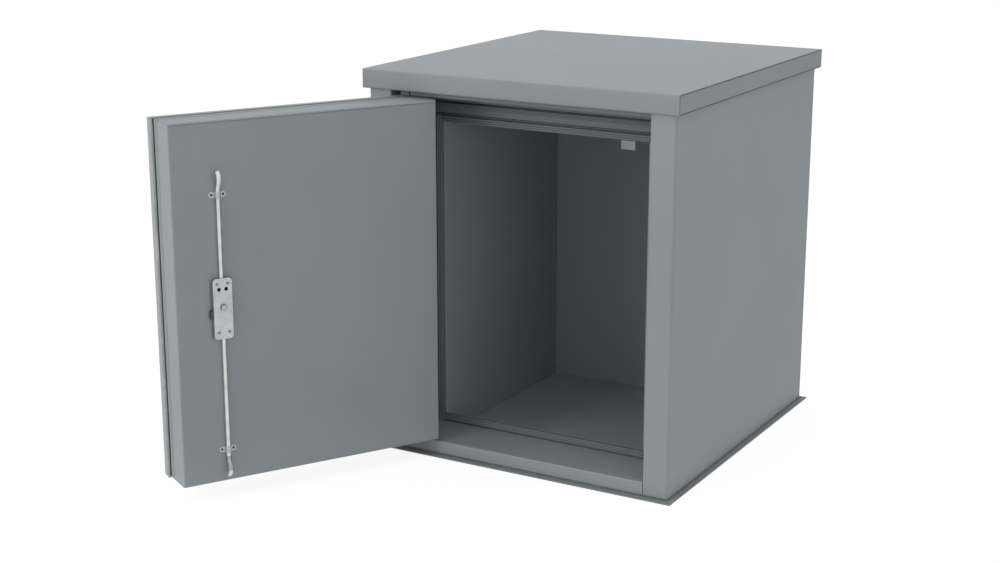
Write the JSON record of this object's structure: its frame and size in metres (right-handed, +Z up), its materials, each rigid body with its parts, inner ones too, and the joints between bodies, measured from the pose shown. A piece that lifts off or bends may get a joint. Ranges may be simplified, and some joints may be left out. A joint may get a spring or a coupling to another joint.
{
  "type": "gas cabinet",
  "caption": "Insulated sheet-steel gas cabinet with a deep side-hung door standing open and a two-way rod lock on the inside of the door.",
  "frame": {"origin": "centre of the body's footprint on the ground, without base flange and roof overhang", "axes": "+X to the right seen from the front, +Y from the front to the rear, +Z up"},
  "size_m": [1.1694, 1.6104, 1.052],
  "materials": {
    "cabinet_paint": "satin",
    "frame_paint": "satin",
    "liner_paint": "satin",
    "base_paint": "satin",
    "insulation": "matte",
    "gasket_rubber": "matte",
    "zinc": "satin",
    "dark_steel": "matte",
    "gear_steel": "satin",
    "bronze": "satin"
  },
  "bodies": {
    "cabinet": {"base_plate": "base_paint", "side_panel_left": "cabinet_paint", "side_panel_right": "cabinet_paint", "back_panel": "cabinet_paint", "back_rivets": "zinc", "sill": "cabinet_paint", "upstand": "frame_paint", "header": "frame_paint", "top_frame": "frame_paint", "ribbed_strip": "frame_paint", "jamb_left": "frame_paint", "jamb_right": "frame_paint", "liner_left": "liner_paint", "liner_right": "liner_paint", "liner_back": "liner_paint", "liner_ceiling": "liner_paint", "insulation_left": "insulation", "insulation_right": "insulation", "insulation_back": "insulation", "insulation_top": "insulation", "gasket_top": "gasket_rubber", "gasket_bottom": "gasket_rubber", "gasket_left": "gasket_rubber", "gasket_right": "gasket_rubber", "roof_skin": "cabinet_paint", "roof_base": "frame_paint", "roof_core": "insulation", "roof_end_left": "cabinet_paint", "roof_end_right": "cabinet_paint", "keep": "zinc", "hinge_block": "zinc", "hinge_plate_bottom": "zinc", "pin_top": "zinc", "pin_bottom": "zinc", "thrust_washer": "bronze"},
    "door": {"door_leaf": "cabinet_paint", "door_tray": "frame_paint", "door_groove": "gasket_rubber", "door_core": "insulation", "bush_top": "bronze", "bush_bottom": "bronze", "lock_case": "dark_steel", "lock_plate": "zinc", "lock_screws": "zinc", "side_block": "dark_steel", "guide_upper": "zinc", "guide_lower": "zinc", "guide_screws": "zinc", "key_rosette": "zinc"},
    "spindle": {"spindle_bar": "gear_steel", "spindle_hub": "zinc", "pinion": "gear_steel", "key_nut": "gear_steel"},
    "upper_rod_body": {"upper_rod": "zinc", "upper_hook": "zinc", "upper_rack": "gear_steel"},
    "lower_rod_body": {"lower_rod": "zinc", "lower_hook": "zinc", "lower_rack": "gear_steel"}
  },
  "joints": [
    {"name": "door_hinge", "type": "hinge", "parent": "cabinet", "child": "door", "pos_m": [-0.342, -0.4508, 0.5], "axis": [0, 0, 1], "range_deg": [0, 120]},
    {"name": "spindle_turn", "type": "hinge", "parent": "door", "child": "spindle", "pos_m": [-0.53856, -1.01686, 0.515], "axis": [0.866, -0.5, 0], "range_deg": [0, 90]},
    {"name": "upper_rod_slide", "type": "slide", "parent": "door", "child": "upper_rod_body", "axis": [0, 0, 1], "range_m": [0, 0.02513]},
    {"name": "lower_rod_slide", "type": "slide", "parent": "door", "child": "lower_rod_body", "axis": [0, 0, -1], "range_m": [0, 0.02513]}
  ],
  "couplings": [
    {"joint": "spindle_turn", "follows": "upper_rod_slide", "rad_per_m": 62.5},
    {"joint": "lower_rod_slide", "follows": "upper_rod_slide", "ratio": 1}
  ]
}
